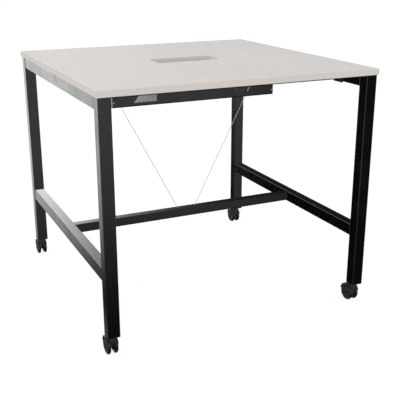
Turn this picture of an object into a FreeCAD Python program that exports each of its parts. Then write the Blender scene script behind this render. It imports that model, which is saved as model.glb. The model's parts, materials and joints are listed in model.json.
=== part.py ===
"""Standing meeting table on twin-wheel casters: one STEP file per sub-part, in millimetres.

Frame: origin on the floor under the centre of the top, X to the right along the front edge,
Y to the back, Z up.
"""
import FreeCAD, Part
import math
import os

# ---------------------------------------------------------------- driving dimensions
# table top
TOP_WIDTH = 1200.0
TOP_DEPTH = 1200.0
TOP_THICK = 25.0
TOP_HEIGHT = 1050.0
EDGE_BAND = 2.0
EDGE_ROUND = 1.0
CUTOUT_WIDTH = 300.0
CUTOUT_DEPTH = 130.0
CUTOUT_CORNER = 5.0
CUTOUT_BAND = 1.0

# legs and frame tubes
LEG_SIDE = 50.0
LEG_INSET = 5.0
LEG_CORNER = 3.0
RAIL_WIDTH = 45.0
RAIL_HEIGHT = 50.0
STRETCHER_SIDE = 40.0
BAR_LEVEL = 338.0
BEAM_SIDE = 40.0
BEAM_SETBACK = 204.0
TUBE_WALL = 2.0
TUBE_CORNER = 2.5
LEAST_CORNER = 0.6

# plates and bolts of the knock-down joints
BEAM_PLATE_WIDTH = 64.0
BEAM_PLATE_HEIGHT = 54.0
BEAM_PLATE_THICK = 5.0
BEAM_BOLT_DIA = 6.0
BEAM_BOLT_EDGE = 6.0
BAR_PLATE_THICK = 6.0
BAR_BOLT_DIA = 8.0
BOLT_CLEAR = 0.3
WELD_CLEAR = 0.2
BAR_ACCESS_DIA = 20.0
BAR_ACCESS_BACK = 30.0

# cable tray
TRAY_LENGTH = 770.0
TRAY_DEPTH = 240.0
TRAY_HEIGHT = 142.0
TRAY_SHEET = 1.5
TRAY_BEND = 4.0
TRAY_FLANGE = 22.0
TRAY_LAP = 14.0
WINDOW_FROM_END = 95.0
WINDOW_LENGTH = 104.0
WINDOW_SILL = 16.0
WINDOW_HEIGHT = 76.0
WINDOW_LEAN = 0.8
ACCESS_POST = 20.0
ACCESS_LIP = 6.0
ACCESS_STRIP = 24.0
ACCESS_CORNER = 5.0
RIVET_HEAD_DIA = 6.0
RIVET_HEAD_HIGH = 1.0
RIVET_HEAD_ROUND = 0.7
RIVET_DIA = 3.2
RIVET_FROM_END = 6.0
RIVET_RISE = 21.0
RIVET_ROW_HEIGHT = 90.0

# brace wires
WIRE_DIA = 2.5
WIRE_FOOT_X = 44.0
WIRE_PIN_INSET = 12.6
WIRE_PIN_DROP = 40.0
WIRE_IN_FORK = 18.0
WIRE_HOLE_DIA = 6.0
WIRE_TRAY_HOLE = 10.0
FORK_BARREL_DIA = 6.0
FORK_BARREL = 24.0
FORK_ARM = 2.5
FORK_ARM_LENGTH = 16.0
FORK_WIDTH = 10.0
PIN_DIA = 5.0
PIN_HEAD_DIA = 7.5
PIN_HEAD_HIGH = 1.5
LUG_THICK = 3.0
LUG_HALF_WIDTH = 10.0
LUG_GAP = 0.3
FORK_THROAT = 2.0
BRACKET_LENGTH = 56.0
BRACKET_WIDTH = 60.0
BRACKET_THICK = 3.0
BLOCK_LENGTH = 110.0
BLOCK_HEIGHT = 18.0
BLOCK_GAP = 0.3
STOP_DIA = 7.0
STOP_LENGTH = 14.0
STOP_SEAT = 8.0
FOOT_SLOT_LENGTH = 76.0
FOOT_SLOT_WIDTH = 16.0
FOOT_SLOT_CORNER = 7.0

# wood screws into the underside of the board
SCREW_DIA = 4.5
SCREW_LENGTH = 20.0
SCREW_HEAD_DIA = 9.0
SCREW_HEAD_HIGH = 2.5
SCREW_HEAD_ROUND = 1.0
SCREW_DRIVE = 2.7
SCREW_DRIVE_DEEP = 1.5
SCREW_ACCESS_DIA = 12.0
RAIL_SCREW_MIDDLE = 150.0
RAIL_SCREW_FROM_EDGE = 130.0
BEAM_SCREW_AT = 250.0
TRAY_SCREWS_FROM_END = (50.0, 275.0)

# leg inserts and casters
WHEEL_DIA = 75.0
WHEEL_WIDTH = 13.0
WHEEL_GAP = 17.0
WHEEL_SHOULDER = 6.0
WHEEL_RIM = 7.0
WHEEL_DISC = 3.0
WHEEL_DISH = 2.0
WHEEL_HUB_DIA = 20.0
WHEEL_CAP = 2.0
TRAIL = 28.0
LEG_GROUND_GAP = 92.0
INSERT_FLANGE = 2.0
INSERT_LENGTH = 22.0
INSERT_GAP = 0.1
STEM_DIA = 10.0
COLLAR_SIDE = 17.0
COLLAR_HIGH = 3.0
PIVOT_DIA = 8.0
PIVOT_LENGTH = 35.0
PIVOT_FIT = 0.08
SWIVEL_GAP = 0.3
AXLE_DIA = 6.0
AXLE_FIT = 0.06
HOOD_GAP = 1.2
HOOD_SHELL = 1.6
HOOD_BOSS_DIA = 26.0
HOOD_WEB = 14.0
HOOD_WEB_RADIUS = 16.0
HOOD_WEB_DROP = 2.0
HOOD_REAR_ANGLE = 8.0
HOOD_FRONT_ANGLE = 158.0

# proportions of hexagon bolts and nuts, by shank diameter, and the test for equal lengths
HEX_ACROSS_FLATS = 1.6
BOLT_HEAD_HIGH = 0.65
NUT_HIGH = 0.8
SAME = 0.01

# ---------------------------------------------------------------- derived levels and places
BOARD_UNDER = TOP_HEIGHT - TOP_THICK
LEG_X = TOP_WIDTH / 2 - LEG_INSET - LEG_SIDE / 2
LEG_Y = TOP_DEPTH / 2 - LEG_INSET - LEG_SIDE / 2
LEG_GAP_Y = 2 * LEG_Y - LEG_SIDE
RAIL_INNER_X = LEG_X - RAIL_WIDTH / 2
STRETCHER_TOP = BAR_LEVEL + STRETCHER_SIDE / 2
RAIL_Z = BOARD_UNDER - RAIL_HEIGHT / 2
BEAM_Z = BOARD_UNDER - BEAM_SIDE / 2
BEAM_OFFSET = TOP_DEPTH / 2 - BEAM_SETBACK
TRAY_FLOOR = BOARD_UNDER - TRAY_HEIGHT
PIN_X = TRAY_LENGTH / 2 - WIRE_PIN_INSET
PIN_Z = BOARD_UNDER - WIRE_PIN_DROP
WIRE_SLOPE = (PIN_X - WIRE_FOOT_X) / (PIN_Z - STRETCHER_TOP)
WHEEL_RADIUS = WHEEL_DIA / 2
WHEEL_SPAN = WHEEL_GAP + 2 * WHEEL_WIDTH
SIDES = {"left": -1, "right": 1}
ENDS = {"front": -1, "back": 1}
CORNERS = {e + "_" + s: (SIDES[s] * LEG_X, ENDS[e] * LEG_Y) for e in ENDS for s in SIDES}
X_AXIS = FreeCAD.Vector(1, 0, 0)
Y_AXIS = FreeCAD.Vector(0, 1, 0)
Z_AXIS = FreeCAD.Vector(0, 0, 1)


# ---------------------------------------------------------------- shared shapes
def vec(x, y, z):
    return FreeCAD.Vector(x, y, z)


def block(size, centre_x, centre_y, bottom):
    """A plain box given by its size, its plan centre and its lowest level."""
    corner = vec(centre_x - size[0] / 2, centre_y - size[1] / 2, bottom)
    return Part.makeBox(size[0], size[1], size[2], corner)


def rod(dia, length, start, direction=Z_AXIS):
    """A cylinder from start along direction."""
    return Part.makeCylinder(dia / 2, length, start, direction)


def polygon(points):
    """A face from the corner points of a closed outline."""
    return Part.Face(Part.makePolygon([vec(*p) for p in points] + [vec(*points[0])]))


def rounded_bar(width, height, radius, length):
    """A bar along +Z with a rounded rectangle section centred on the origin."""
    bar = Part.makeBox(width, height, length, vec(-width / 2, -height / 2, 0))
    upright = [e for e in bar.Edges if abs(e.tangentAt(e.FirstParameter).z) > 0.5]
    return bar.makeFillet(radius, upright)


def inner_corner(corner):
    """Inside corner radius of a tube with that outside corner radius."""
    return max(corner - TUBE_WALL, LEAST_CORNER)


def tube(width, height, corner, length):
    """A square or rectangular tube along +Z, centred on the origin."""
    outer = rounded_bar(width, height, corner, length)
    inner = rounded_bar(width - 2 * TUBE_WALL, height - 2 * TUBE_WALL, inner_corner(corner), length)
    return outer.cut(inner)


def laid_along_x(shape, start):
    """Turn a +Z shape to run along +X from start; its second section side points up."""
    turned = shape.copy()
    turned.rotate(vec(0, 0, 0), Z_AXIS, 90)
    turned.rotate(vec(0, 0, 0), Y_AXIS, 90)
    turned.rotate(vec(0, 0, 0), X_AXIS, 180)
    turned.translate(start)
    return turned


def laid_along_y(shape, start):
    """Turn a +Z shape to run along +Y from start; its second section side points up."""
    turned = shape.copy()
    turned.rotate(vec(0, 0, 0), X_AXIS, -90)
    turned.translate(start)
    return turned


def cut_all(shape, tools):
    """Cut every tool from the shape, one after the other."""
    for tool in tools:
        shape = shape.cut(tool)
    return shape


def hexagon(across_flats, height, start, direction=Z_AXIS):
    """A hexagonal prism from start along direction."""
    radius = across_flats / math.sqrt(3)
    corners = [(radius * math.cos(math.radians(60 * k)), radius * math.sin(math.radians(60 * k)), 0)
               for k in range(6)]
    prism = polygon(corners).extrude(vec(0, 0, height))
    prism.Placement = FreeCAD.Placement(start, FreeCAD.Rotation(Z_AXIS, direction))
    return prism


def save(name, solids):
    """Write one node: a single solid, or a group of separate solids."""
    solids = [s for shape in solids for s in shape.Solids]
    shape = solids[0] if len(solids) == 1 else Part.makeCompound(solids)
    if not shape.isValid():
        raise ValueError("invalid shape in " + name)
    shape.exportStep("parts/" + name + ".step")


# ---------------------------------------------------------------- fasteners
def screw_places():
    """Seat of each wood screw: node, x, y and the thickness of what it clamps."""
    places = []
    for x in (-LEG_X, LEG_X):
        for y in (RAIL_SCREW_MIDDLE, TOP_DEPTH / 2 - RAIL_SCREW_FROM_EDGE):
            places += [("rail_screws", x, y, TUBE_WALL), ("rail_screws", x, -y, TUBE_WALL)]
    for y in (-BEAM_OFFSET, BEAM_OFFSET):
        for x in (-BEAM_SCREW_AT, BEAM_SCREW_AT):
            places.append(("beam_screws", x, y, TUBE_WALL))
    flange_y = TRAY_DEPTH / 2 + TRAY_FLANGE / 2
    for from_end in TRAY_SCREWS_FROM_END:
        x = TRAY_LENGTH / 2 - from_end
        for sx in (-1, 1):
            for sy in (-1, 1):
                places.append(("tray_screws", sx * x, sy * flange_y, TRAY_SHEET))
    for sx in (-1, 1):
        for x, y in bracket_screw_places():
            places.append(("bracket_screws", sx * x, y, BRACKET_THICK))
    return places


def wood_screw(x, y, grip):
    """Pan-head screw driven up into the board through a sheet of the given thickness."""
    seat = BOARD_UNDER - grip
    shank = rod(SCREW_DIA, SCREW_LENGTH, vec(x, y, seat))
    head = rod(SCREW_HEAD_DIA, SCREW_HEAD_HIGH, vec(x, y, seat - SCREW_HEAD_HIGH))
    rim = [e for e in head.Edges if abs(e.BoundBox.ZMax - seat + SCREW_HEAD_HIGH) < SAME]
    head = head.makeFillet(SCREW_HEAD_ROUND, rim)
    drive = hexagon(SCREW_DRIVE, SCREW_DRIVE_DEEP, vec(x, y, seat - SCREW_HEAD_HIGH))
    return shank.fuse(head).cut(drive)


def screw_pilot(x, y, grip):
    """The hole that a wood screw makes in the board."""
    return rod(SCREW_DIA, SCREW_LENGTH - grip, vec(x, y, BOARD_UNDER))


def bolt(dia, length, seat, direction):
    """Hex bolt: the underside of its head is at seat, its shank runs along direction."""
    head_high = dia * BOLT_HEAD_HIGH
    shank = rod(dia, length, seat, direction)
    head = hexagon(dia * HEX_ACROSS_FLATS, head_high, seat - direction * head_high, direction)
    return shank.fuse(head)


def weld_nut(dia, seat, direction):
    """Hex nut on the far side of a wall, along direction from seat."""
    body = hexagon(dia * HEX_ACROSS_FLATS, dia * NUT_HIGH, seat, direction)
    return body.cut(rod(dia, dia * NUT_HIGH, seat, direction))


def save_screws():
    places = screw_places()
    for node in ("rail_screws", "beam_screws", "tray_screws", "bracket_screws"):
        save(node, [wood_screw(x, y, grip) for name, x, y, grip in places if name == node])


# ---------------------------------------------------------------- table top
def cutout_prism(grow, bottom, height):
    """The cut-out's outline, grown by a margin, as an upright prism."""
    prism = rounded_bar(CUTOUT_WIDTH + 2 * grow, CUTOUT_DEPTH + 2 * grow, CUTOUT_CORNER + grow, height)
    prism.translate(vec(0, 0, bottom))
    return prism


def board():
    size = (TOP_WIDTH - 2 * EDGE_BAND, TOP_DEPTH - 2 * EDGE_BAND, TOP_THICK)
    panel = block(size, 0, 0, BOARD_UNDER)
    pilots = [screw_pilot(x, y, grip) for _, x, y, grip in screw_places()]
    return cut_all(panel, [cutout_prism(CUTOUT_BAND, BOARD_UNDER, TOP_THICK)] + pilots)


def edge_band(side_x, side_y):
    """One strip of banding; the front and back strips cover the ends of the side strips."""
    if side_x:
        strip = block((EDGE_BAND, TOP_DEPTH - 2 * EDGE_BAND, TOP_THICK),
                      side_x * (TOP_WIDTH - EDGE_BAND) / 2, 0, BOARD_UNDER)
        outer = [e for e in strip.Edges if abs(abs(e.BoundBox.XMin) - TOP_WIDTH / 2) < SAME
                 and e.BoundBox.XLength < SAME and e.BoundBox.YLength > TOP_THICK]
    else:
        strip = block((TOP_WIDTH, EDGE_BAND, TOP_THICK),
                      0, side_y * (TOP_DEPTH - EDGE_BAND) / 2, BOARD_UNDER)
        outer = [e for e in strip.Edges if abs(abs(e.BoundBox.YMin) - TOP_DEPTH / 2) < SAME
                 and e.BoundBox.YLength < SAME and e.BoundBox.XLength > TOP_THICK]
    return strip.makeFillet(EDGE_ROUND, outer)


def save_top():
    save("table_top", [board()])
    save("edge_band_front", [edge_band(0, -1)])
    save("edge_band_back", [edge_band(0, 1)])
    save("edge_band_left", [edge_band(-1, 0)])
    save("edge_band_right", [edge_band(1, 0)])
    lining = cutout_prism(CUTOUT_BAND, BOARD_UNDER, TOP_THICK).cut(cutout_prism(0, BOARD_UNDER, TOP_THICK))
    save("cutout_edge_band", [lining])


# ---------------------------------------------------------------- end frames, stretcher and beams
def leg(x, y):
    shape = tube(LEG_SIDE, LEG_SIDE, LEG_CORNER, BOARD_UNDER - LEG_GROUND_GAP)
    shape.translate(vec(x, y, LEG_GROUND_GAP))
    return shape


def screw_ways(node, tube_height):
    """Screw holes in the upper wall of a tube and access holes in its lower wall."""
    tools = []
    for name, x, y, _ in screw_places():
        if name == node:
            tools.append(rod(SCREW_DIA, TUBE_WALL, vec(x, y, BOARD_UNDER - TUBE_WALL)))
            tools.append(rod(SCREW_ACCESS_DIA, TUBE_WALL, vec(x, y, BOARD_UNDER - tube_height)))
    return tools


def beam_bolt_places(side):
    """Axis points of the beam bolts on the inner face of one side rail."""
    step = BEAM_PLATE_WIDTH / 2 - BEAM_BOLT_EDGE
    return [vec(side * RAIL_INNER_X, end * BEAM_OFFSET + shift, RAIL_Z)
            for end in (-1, 1) for shift in (-step, step)]


def side_rail(side):
    shape = laid_along_y(tube(RAIL_WIDTH, RAIL_HEIGHT, TUBE_CORNER, LEG_GAP_Y),
                         vec(side * LEG_X, -LEG_GAP_Y / 2, RAIL_Z))
    near = [t for t in screw_ways("rail_screws", RAIL_HEIGHT) if t.BoundBox.Center.x * side > 0]
    holes = [rod(BEAM_BOLT_DIA + BOLT_CLEAR, TUBE_WALL, p, X_AXIS * side) for p in beam_bolt_places(side)]
    return cut_all(shape, near + holes)


def crossbar(side):
    shape = laid_along_y(tube(RAIL_WIDTH, RAIL_HEIGHT, TUBE_CORNER, LEG_GAP_Y),
                         vec(side * LEG_X, -LEG_GAP_Y / 2, BAR_LEVEL))
    hole = rod(BAR_BOLT_DIA + BOLT_CLEAR, TUBE_WALL, vec(side * RAIL_INNER_X, 0, BAR_LEVEL), X_AXIS * side)
    return shape.cut(hole)


def wire_point(side, z):
    """The point of a brace wire's axis at level z."""
    return vec(side * (WIRE_FOOT_X + WIRE_SLOPE * (z - STRETCHER_TOP)), 0, z)


def wire_direction(side):
    """Unit vector along a brace wire, upwards."""
    return (wire_point(side, PIN_Z) - wire_point(side, STRETCHER_TOP)).normalize()


def stretcher():
    bar = tube(STRETCHER_SIDE, STRETCHER_SIDE, TUBE_CORNER, 2 * RAIL_INNER_X)
    shape = laid_along_x(bar, vec(-RAIL_INNER_X, 0, BAR_LEVEL))
    tools = []
    for side in SIDES.values():
        start = wire_point(side, STRETCHER_TOP - STRETCHER_SIDE / 2)
        tools.append(rod(WIRE_HOLE_DIA, STRETCHER_SIDE, start, wire_direction(side)))
        access = vec(side * (RAIL_INNER_X - BAR_ACCESS_BACK), 0, STRETCHER_TOP - STRETCHER_SIDE)
        tools.append(rod(BAR_ACCESS_DIA, TUBE_WALL, access))
    slot = rounded_bar(FOOT_SLOT_LENGTH, FOOT_SLOT_WIDTH, FOOT_SLOT_CORNER, TUBE_WALL)
    slot.translate(vec(0, 0, STRETCHER_TOP - STRETCHER_SIDE))
    return cut_all(shape, tools + [slot])


def stretcher_end_plate(side):
    """Square plate welded inside one end of the stretcher, flush with the end."""
    width = STRETCHER_SIDE - 2 * TUBE_WALL - 2 * WELD_CLEAR
    section = rounded_bar(width, width, inner_corner(TUBE_CORNER), BAR_PLATE_THICK)
    plate = laid_along_x(section, vec(0, 0, BAR_LEVEL))
    plate.translate(vec(RAIL_INNER_X - BAR_PLATE_THICK if side > 0 else -RAIL_INNER_X, 0, 0))
    way = X_AXIS * side
    start = vec(side * (RAIL_INNER_X - BAR_PLATE_THICK), 0, BAR_LEVEL)
    return plate.cut(rod(BAR_BOLT_DIA + BOLT_CLEAR, BAR_PLATE_THICK, start, way))


def under_top_beam(end):
    length = 2 * (RAIL_INNER_X - BEAM_PLATE_THICK)
    shape = laid_along_x(tube(BEAM_SIDE, BEAM_SIDE, TUBE_CORNER, length),
                         vec(-length / 2, end * BEAM_OFFSET, BEAM_Z))
    near = [t for t in screw_ways("beam_screws", BEAM_SIDE) if t.BoundBox.Center.y * end > 0]
    return cut_all(shape, near)


def beam_end_plate(side, end):
    x = side * (RAIL_INNER_X - BEAM_PLATE_THICK / 2)
    size = (BEAM_PLATE_THICK, BEAM_PLATE_WIDTH, BEAM_PLATE_HEIGHT)
    plate = block(size, x, end * BEAM_OFFSET, BOARD_UNDER - BEAM_PLATE_HEIGHT)
    for place in beam_bolt_places(side):
        start = place - X_AXIS * side * BEAM_PLATE_THICK
        plate = plate.cut(rod(BEAM_BOLT_DIA + BOLT_CLEAR, BEAM_PLATE_THICK, start, X_AXIS * side))
    return plate


def save_frame():
    for name, (x, y) in CORNERS.items():
        save("leg_" + name, [leg(x, y)])
    for name, side in SIDES.items():
        save("side_rail_" + name, [side_rail(side)])
        save("crossbar_" + name, [crossbar(side)])
    save("stretcher", [stretcher()])
    save("stretcher_end_plates", [stretcher_end_plate(side) for side in SIDES.values()])
    bolts = []
    nuts = []
    for side in SIDES.values():
        way = X_AXIS * side
        face = vec(side * RAIL_INNER_X, 0, BAR_LEVEL)
        grip = BAR_PLATE_THICK + TUBE_WALL
        bolts.append(bolt(BAR_BOLT_DIA, grip + BAR_BOLT_DIA, face - way * BAR_PLATE_THICK, way))
        nuts.append(weld_nut(BAR_BOLT_DIA, face + way * TUBE_WALL, way))
    save("stretcher_bolts", bolts)
    save("stretcher_weld_nuts", nuts)
    for name, end in ENDS.items():
        save("under_top_beam_" + name, [under_top_beam(end)])
        save("beam_end_plates_" + name, [beam_end_plate(side, end) for side in SIDES.values()])
    bolts = []
    nuts = []
    for side in SIDES.values():
        way = X_AXIS * side
        for place in beam_bolt_places(side):
            grip = BEAM_PLATE_THICK + TUBE_WALL
            bolts.append(bolt(BEAM_BOLT_DIA, grip + BEAM_BOLT_DIA, place - way * BEAM_PLATE_THICK, way))
            nuts.append(weld_nut(BEAM_BOLT_DIA, place + way * TUBE_WALL, way))
    save("beam_bolts", bolts)
    save("beam_weld_nuts", nuts)


# ---------------------------------------------------------------- cable tray
def tray_section(outset, length):
    """The tray's trough as a solid prism along X, shrunk all round below by outset."""
    width = TRAY_DEPTH - 2 * outset
    height = TRAY_HEIGHT - outset
    prism = block((length, width, height), 0, 0, TRAY_FLOOR + outset)
    low = [e for e in prism.Edges if abs(e.BoundBox.XLength - length) < SAME
           and abs(e.BoundBox.ZMax - TRAY_FLOOR - outset) < SAME]
    return prism.makeFillet(max(TRAY_BEND - outset, LEAST_CORNER), low)


def tray_window(side):
    """Cable window through the front wall: upright inner end, leaning outer end."""
    low = TRAY_FLOOR + WINDOW_SILL
    high = low + WINDOW_HEIGHT
    far = TRAY_LENGTH / 2 - WINDOW_FROM_END
    near = far - WINDOW_LENGTH
    far_high = far - WINDOW_LEAN * WINDOW_HEIGHT
    start = -TRAY_DEPTH / 2
    outline = [(side * near, start, low), (side * far, start, low),
               (side * far_high, start, high), (side * near, start, high)]
    return polygon(outline).extrude(vec(0, TRAY_SHEET, 0))


def tray_access():
    """Long access opening in the back wall, above a low lip and below a strip under the board."""
    high = TRAY_HEIGHT - ACCESS_LIP - ACCESS_STRIP
    opening = rounded_bar(TRAY_LENGTH - 2 * ACCESS_POST, high, ACCESS_CORNER, TRAY_SHEET)
    return laid_along_y(opening, vec(0, TRAY_DEPTH / 2 - TRAY_SHEET, TRAY_FLOOR + ACCESS_LIP + high / 2))


def rivet_places():
    """Centre of each rivet on the outer face of the tray's walls, and its outward side."""
    return [(side * (TRAY_LENGTH / 2 - RIVET_FROM_END), end, TRAY_FLOOR + RIVET_RISE + lift)
            for side in (-1, 1) for end in (-1, 1) for lift in (0, RIVET_ROW_HEIGHT)]


def rivet(x, end, z):
    """Blind rivet through a wall of the tray and the lap of its end plate."""
    outward = Y_AXIS * end
    face = vec(x, end * TRAY_DEPTH / 2, z)
    head = rod(RIVET_HEAD_DIA, RIVET_HEAD_HIGH, face, outward)
    crown_y = TRAY_DEPTH / 2 + RIVET_HEAD_HIGH
    crown = [e for e in head.Edges if abs(e.BoundBox.Center.y * end - crown_y) < SAME]
    head = head.makeFillet(RIVET_HEAD_ROUND, crown)
    shank = rod(RIVET_DIA, 2 * TRAY_SHEET, face, outward * -1)
    return head.fuse(shank)


def rivet_holes():
    return [rod(RIVET_DIA, 2 * TRAY_SHEET, vec(x, end * TRAY_DEPTH / 2, z), Y_AXIS * -end)
            for x, end, z in rivet_places()]


def tray_body():
    """Folded sheet: floor, front and back walls, and flanges turned out under the board."""
    trough = tray_section(0, TRAY_LENGTH).cut(tray_section(TRAY_SHEET, TRAY_LENGTH))
    for end in (-1, 1):
        y = end * (TRAY_DEPTH + TRAY_FLANGE - TRAY_SHEET) / 2
        flange = block((TRAY_LENGTH, TRAY_FLANGE + TRAY_SHEET, TRAY_SHEET), 0, y, BOARD_UNDER - TRAY_SHEET)
        trough = trough.fuse(flange)
    trough = trough.removeSplitter()
    tools = [tray_window(side) for side in (-1, 1)] + rivet_holes() + [tray_access()]
    for side in (-1, 1):
        start = wire_point(side, TRAY_FLOOR - WIRE_TRAY_HOLE)
        tools.append(rod(WIRE_TRAY_HOLE, 2 * WIRE_TRAY_HOLE, start, wire_direction(side)))
    for name, x, y, grip in screw_places():
        if name == "tray_screws":
            tools.append(rod(SCREW_DIA, TRAY_SHEET, vec(x, y, BOARD_UNDER - grip)))
    return cut_all(trough, tools)


def tray_end(side):
    """End plate inside the trough, with a lap turned inwards along each wall and the floor."""
    inside = tray_section(TRAY_SHEET, TRAY_LENGTH)
    hollow = tray_section(2 * TRAY_SHEET, TRAY_LENGTH - 2 * TRAY_SHEET)
    cap = inside.cut(hollow)
    x = side * (TRAY_LENGTH - TRAY_LAP) / 2
    keep = block((TRAY_LAP, TRAY_DEPTH, TRAY_HEIGHT), x, 0, TRAY_FLOOR)
    return cut_all(cap.common(keep), rivet_holes())


def save_tray():
    save("cable_tray", [tray_body()])
    for name, side in SIDES.items():
        save("tray_end_" + name, [tray_end(side)])
    save("tray_rivets", [rivet(x, end, z) for x, end, z in rivet_places()])


# ---------------------------------------------------------------- brace wires
def pin_point(side):
    """Centre of the clevis pin at the upper end of a wire."""
    return wire_point(side, PIN_Z)


def bracket_centre_x():
    """Plan centre of a wire bracket's base plate, for the right side."""
    return PIN_X + LUG_HALF_WIDTH - BRACKET_LENGTH / 2


def bracket_screw_places():
    """Plan positions of one bracket's screws, for the right side."""
    dx = BRACKET_LENGTH / 2 - SCREW_HEAD_DIA
    dy = BRACKET_WIDTH / 2 - SCREW_HEAD_DIA
    centre = bracket_centre_x()
    return [(centre + sx * dx, sy * dy) for sx in (-1, 1) for sy in (-1, 1)]


def wire_bracket(side):
    """Base plate under the board with an upright lug for the clevis pin."""
    centre = bracket_centre_x()
    base = block((BRACKET_LENGTH, BRACKET_WIDTH, BRACKET_THICK), centre, 0, BOARD_UNDER - BRACKET_THICK)
    pin = pin_point(1)
    top = BOARD_UNDER - BRACKET_THICK
    plate = block((2 * LUG_HALF_WIDTH, LUG_THICK, top - pin.z), pin.x, 0, pin.z)
    plate = plate.fuse(rod(2 * LUG_HALF_WIDTH, LUG_THICK, vec(pin.x, -LUG_THICK / 2, pin.z), Y_AXIS))
    plate = plate.cut(rod(PIN_DIA, LUG_THICK, vec(pin.x, -LUG_THICK / 2, pin.z), Y_AXIS))
    shape = base.fuse(plate).removeSplitter()
    for x, y in bracket_screw_places():
        shape = shape.cut(rod(SCREW_DIA, BRACKET_THICK, vec(x, y, BOARD_UNDER - BRACKET_THICK)))
    return shape if side > 0 else shape.mirror(vec(0, 0, 0), X_AXIS)


def fork_slot():
    return LUG_THICK + 2 * LUG_GAP


def wire_fork(side):
    """Swaged terminal: a barrel on the wire and two arms around the bracket's lug."""
    width = fork_slot() + 2 * FORK_ARM
    arms = block((FORK_WIDTH, width, FORK_ARM_LENGTH), 0, 0, -FORK_ARM_LENGTH)
    tip = rod(FORK_WIDTH, width, vec(0, -width / 2, 0), Y_AXIS)
    barrel = rod(FORK_BARREL_DIA, FORK_BARREL, vec(0, 0, -FORK_ARM_LENGTH - FORK_BARREL))
    shape = arms.fuse(tip).fuse(barrel).removeSplitter()
    deep = LUG_HALF_WIDTH + FORK_THROAT
    shape = shape.cut(block((2 * FORK_WIDTH, fork_slot(), deep + FORK_WIDTH), 0, 0, -deep))
    shape = shape.cut(rod(PIN_DIA, width, vec(0, -width / 2, 0), Y_AXIS))
    shape = shape.cut(rod(WIRE_DIA, WIRE_IN_FORK, vec(0, 0, -FORK_ARM_LENGTH - FORK_BARREL)))
    shape.Placement = FreeCAD.Placement(pin_point(side), FreeCAD.Rotation(Z_AXIS, wire_direction(side)))
    return shape


def clevis_pin(side):
    """Headed pin through the fork and the lug, with a peened far end."""
    width = fork_slot() + 2 * FORK_ARM
    centre = pin_point(side)
    shank = rod(PIN_DIA, width, centre - Y_AXIS * width / 2, Y_AXIS)
    head = rod(PIN_HEAD_DIA, PIN_HEAD_HIGH, centre - Y_AXIS * (width / 2 + PIN_HEAD_HIGH), Y_AXIS)
    tail = rod(PIN_HEAD_DIA, PIN_HEAD_HIGH, centre + Y_AXIS * width / 2, Y_AXIS)
    return shank.fuse(head).fuse(tail).removeSplitter()


def stop_top(side):
    """The point where the swaged stop bears on its seat in the anchor block."""
    return wire_point(side, STRETCHER_TOP - TUBE_WALL - BLOCK_HEIGHT + STOP_SEAT)


def anchor_block():
    """Steel block under the stretcher's upper wall that takes the pull of both wires."""
    width = STRETCHER_SIDE - 2 * TUBE_WALL - 2 * BLOCK_GAP
    shape = block((BLOCK_LENGTH, width, BLOCK_HEIGHT), 0, 0, STRETCHER_TOP - TUBE_WALL - BLOCK_HEIGHT)
    for side in SIDES.values():
        way = wire_direction(side)
        shape = shape.cut(rod(WIRE_HOLE_DIA, 2 * BLOCK_HEIGHT, stop_top(side), way))
        shape = shape.cut(rod(STOP_DIA + 2 * BLOCK_GAP, 2 * BLOCK_HEIGHT, stop_top(side), way * -1))
    return shape


def wire_stop(side):
    way = wire_direction(side)
    sleeve = rod(STOP_DIA, STOP_LENGTH, stop_top(side), way * -1)
    return sleeve.cut(rod(WIRE_DIA, STOP_LENGTH, stop_top(side), way * -1))


def brace_wire(side):
    """Straight wire from the end of its stop to the bottom of the hole in its fork."""
    way = wire_direction(side)
    low = stop_top(side) - way * STOP_LENGTH
    high = pin_point(side) - way * (FORK_ARM_LENGTH + FORK_BARREL - WIRE_IN_FORK)
    return rod(WIRE_DIA, (high - low).Length, low, way)


def save_wires():
    for name, side in SIDES.items():
        save("brace_wire_" + name, [brace_wire(side)])
        save("wire_fork_" + name, [wire_fork(side)])
        save("wire_bracket_" + name, [wire_bracket(side)])
    save("clevis_pins", [clevis_pin(side) for side in SIDES.values()])
    save("wire_stops", [wire_stop(side) for side in SIDES.values()])
    save("wire_anchor_block", [anchor_block()])


# ---------------------------------------------------------------- leg inserts and casters
def leg_insert(x, y):
    """Plug in the foot of a leg: a flange under the tube, a body inside it, a threaded hole."""
    inner = LEG_SIDE - 2 * TUBE_WALL - 2 * INSERT_GAP
    body = rounded_bar(inner, inner, inner_corner(LEG_CORNER), INSERT_LENGTH)
    body.translate(vec(0, 0, LEG_GROUND_GAP))
    flange = rounded_bar(LEG_SIDE, LEG_SIDE, LEG_CORNER, INSERT_FLANGE)
    flange.translate(vec(0, 0, LEG_GROUND_GAP - INSERT_FLANGE))
    hole = rod(STEM_DIA, INSERT_LENGTH + INSERT_FLANGE, vec(0, 0, LEG_GROUND_GAP - INSERT_FLANGE))
    shape = body.fuse(flange).cut(hole)
    shape.translate(vec(x, y, 0))
    return shape


def collar_low():
    return LEG_GROUND_GAP - INSERT_FLANGE - COLLAR_HIGH


def caster_stem(x, y):
    """Threaded stem in the insert, hexagonal collar, and the pivot that the hood turns on."""
    thread = rod(STEM_DIA, INSERT_LENGTH + INSERT_FLANGE, vec(x, y, LEG_GROUND_GAP - INSERT_FLANGE))
    collar = hexagon(COLLAR_SIDE, COLLAR_HIGH, vec(x, y, collar_low()))
    pivot = rod(PIVOT_DIA, PIVOT_LENGTH, vec(x, y, collar_low() - PIVOT_LENGTH))
    return thread.fuse(collar).fuse(pivot)


def across_wheels(dia, width, axle_y):
    """A cylinder along the wheel axis, centred between the wheels."""
    return rod(dia, width, vec(-width / 2, axle_y, WHEEL_RADIUS), X_AXIS)


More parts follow.
